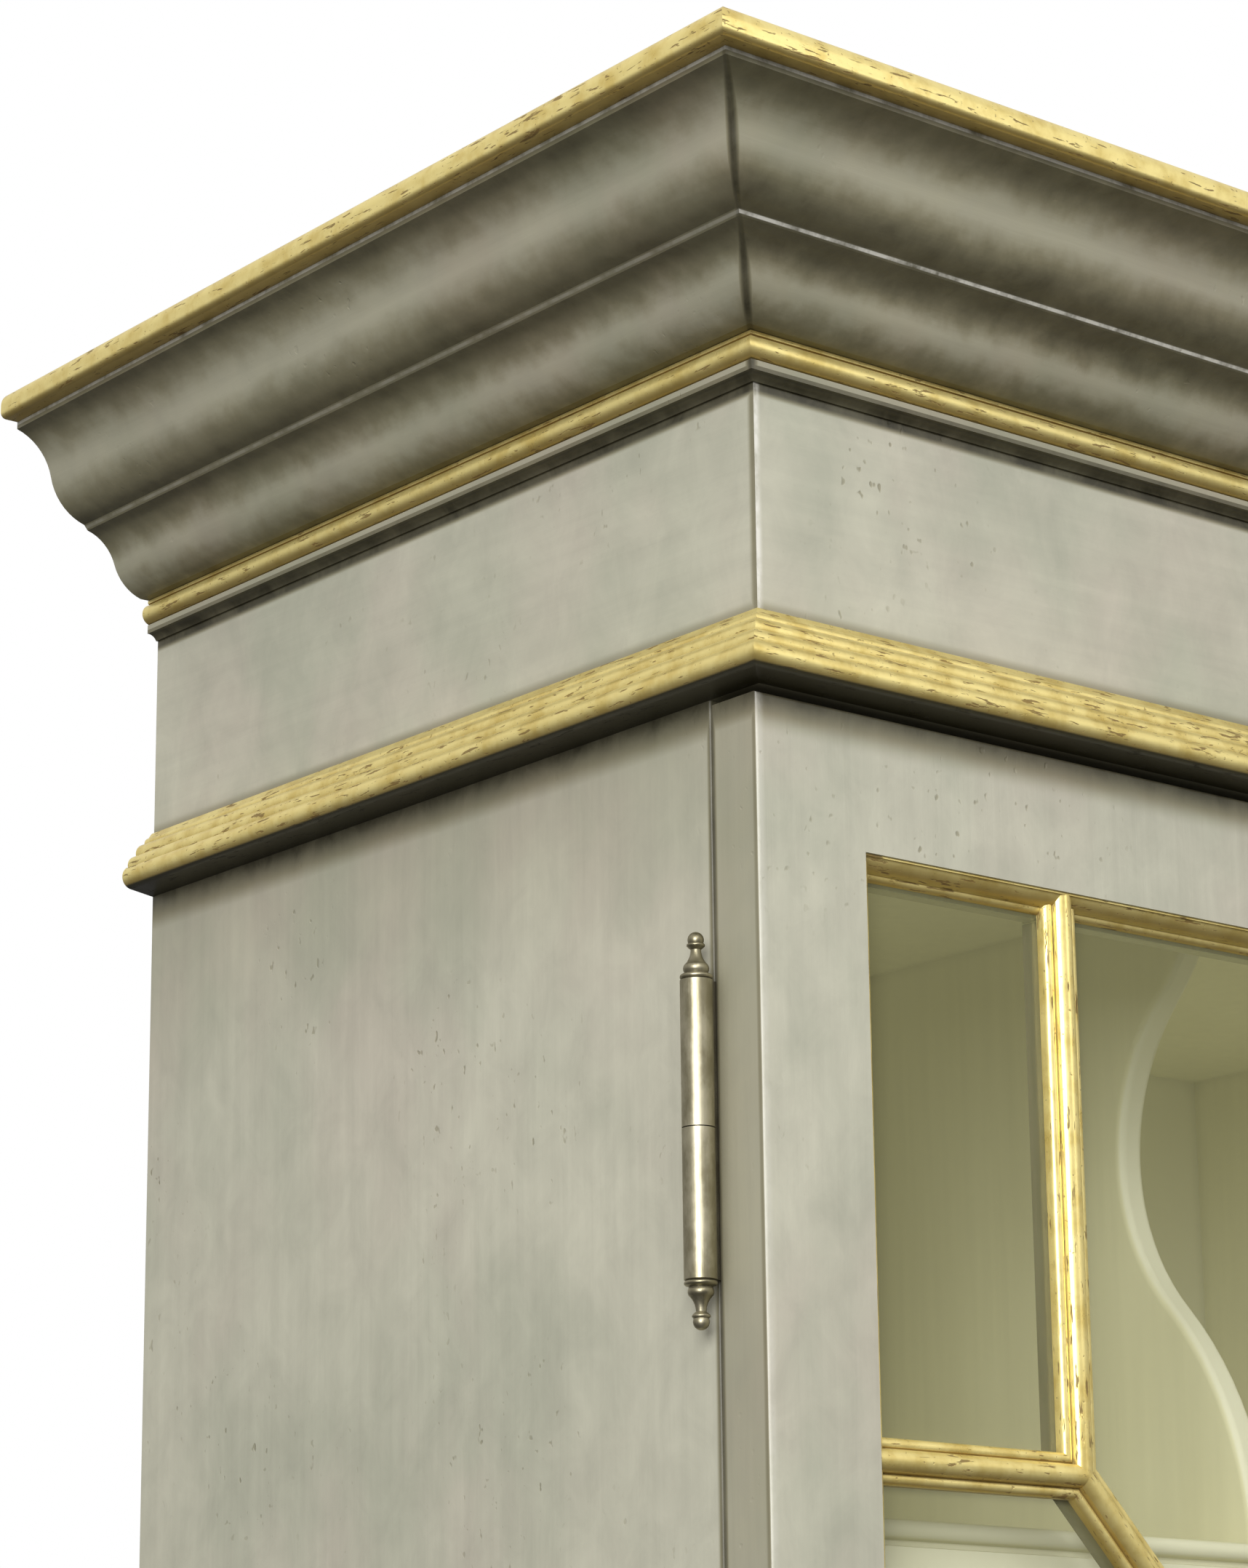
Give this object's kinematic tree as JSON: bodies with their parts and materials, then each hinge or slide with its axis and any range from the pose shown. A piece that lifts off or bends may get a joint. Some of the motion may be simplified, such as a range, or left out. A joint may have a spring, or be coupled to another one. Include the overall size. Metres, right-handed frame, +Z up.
{
  "type": "display armoire",
  "caption": "Tall painted armoire with a stepped gilded cornice, glazed astragal doors over panelled cupboard doors, and bracket feet.",
  "frame": {"origin": "middle of the footprint on the floor", "axes": "+Z up, doors face -Y, +X to the right of a person facing the doors"},
  "size_m": [1.416, 0.488, 2.25],
  "materials": {
    "glazed_paint": "hand-glazed sage grey paint, satin",
    "inner_paint": "cream sage paint, eggshell",
    "web_paint": "dark sage paint, satin",
    "gold_leaf": "distressed gold leaf over umber",
    "bare_wood": "unfinished, stained",
    "pane_glass": "clear",
    "antique_nickel": "antique nickel, brushed",
    "catch_steel": "zinc plated"
  },
  "bodies": {
    "left_door": {"left_door_glass": "pane_glass", "left_door_glazing_bars": "gold_leaf", "left_door_hinge_halves": "antique_nickel", "left_door_knob_set": "antique_nickel", "left_door_rails": "glazed_paint", "left_door_rear_webs": "web_paint", "left_door_sticking": "gold_leaf", "left_door_stiles": "glazed_paint"},
    "right_door": {"right_door_glass": "pane_glass", "right_door_glazing_bars": "gold_leaf", "right_door_hinge_halves": "antique_nickel", "right_door_knob_set": "antique_nickel", "right_door_rails": "glazed_paint", "right_door_rear_webs": "web_paint", "right_door_sticking": "gold_leaf", "right_door_stiles": "glazed_paint"},
    "left_cupboard_door": {"left_cupboard_door_frame": "glazed_paint", "left_cupboard_door_panel": "glazed_paint", "left_cupboard_door_sticking": "gold_leaf", "left_cupboard_hinge_halves": "antique_nickel", "left_cupboard_knob_set": "antique_nickel"},
    "right_cupboard_door": {"right_cupboard_door_frame": "glazed_paint", "right_cupboard_door_panel": "glazed_paint", "right_cupboard_door_sticking": "gold_leaf", "right_cupboard_hinge_halves": "antique_nickel", "right_cupboard_knob_set": "antique_nickel"},
    "carcass": {"architrave_mouldings": "gold_leaf", "back_feet": "glazed_paint", "back_rails": "bare_wood", "base_mouldings": "gold_leaf", "base_rail": "glazed_paint", "bottom_board": "inner_paint", "cornice_front": "glazed_paint", "cornice_left": "glazed_paint", "cornice_lower_beads": "gold_leaf", "cornice_right": "glazed_paint", "cornice_top_beads": "gold_leaf", "cupboard_shelves": "inner_paint", "door_catches": "catch_steel", "dust_board": "bare_wood", "frame_hinge_halves": "antique_nickel", "frieze_ends_and_back": "glazed_paint", "frieze_front": "glazed_paint", "front_feet": "glazed_paint", "glue_blocks": "bare_wood", "lower_back_panel": "inner_paint", "lower_display_shelves": "inner_paint", "lower_partition": "inner_paint", "middle_board": "inner_paint", "middle_display_shelves": "inner_paint", "scalloped_dividers": "inner_paint", "shelf_supports": "catch_steel", "side_panel_left": "glazed_paint", "side_panel_right": "glazed_paint", "top_board": "inner_paint", "top_display_shelves": "inner_paint", "upper_back_panel": "inner_paint", "upper_partition": "inner_paint", "waist_mouldings": "gold_leaf", "waist_rail": "glazed_paint"}
  },
  "joints": [
    {"name": "left_door_swing", "type": "hinge", "parent": "carcass", "child": "left_door", "pos_m": [-0.6345, -0.1344, 1.335], "axis": [0, 0, -1], "range_deg": [0, 180]},
    {"name": "right_door_swing", "type": "hinge", "parent": "carcass", "child": "right_door", "pos_m": [0.6345, -0.1344, 1.335], "axis": [0, 0, 1], "range_deg": [0, 180]},
    {"name": "left_cupboard_door_swing", "type": "hinge", "parent": "carcass", "child": "left_cupboard_door", "pos_m": [-0.6345, -0.1344, 0.367], "axis": [0, 0, -1], "range_deg": [0, 180]},
    {"name": "right_cupboard_door_swing", "type": "hinge", "parent": "carcass", "child": "right_cupboard_door", "pos_m": [0.6345, -0.1344, 0.367], "axis": [0, 0, 1], "range_deg": [0, 180]}
  ]
}
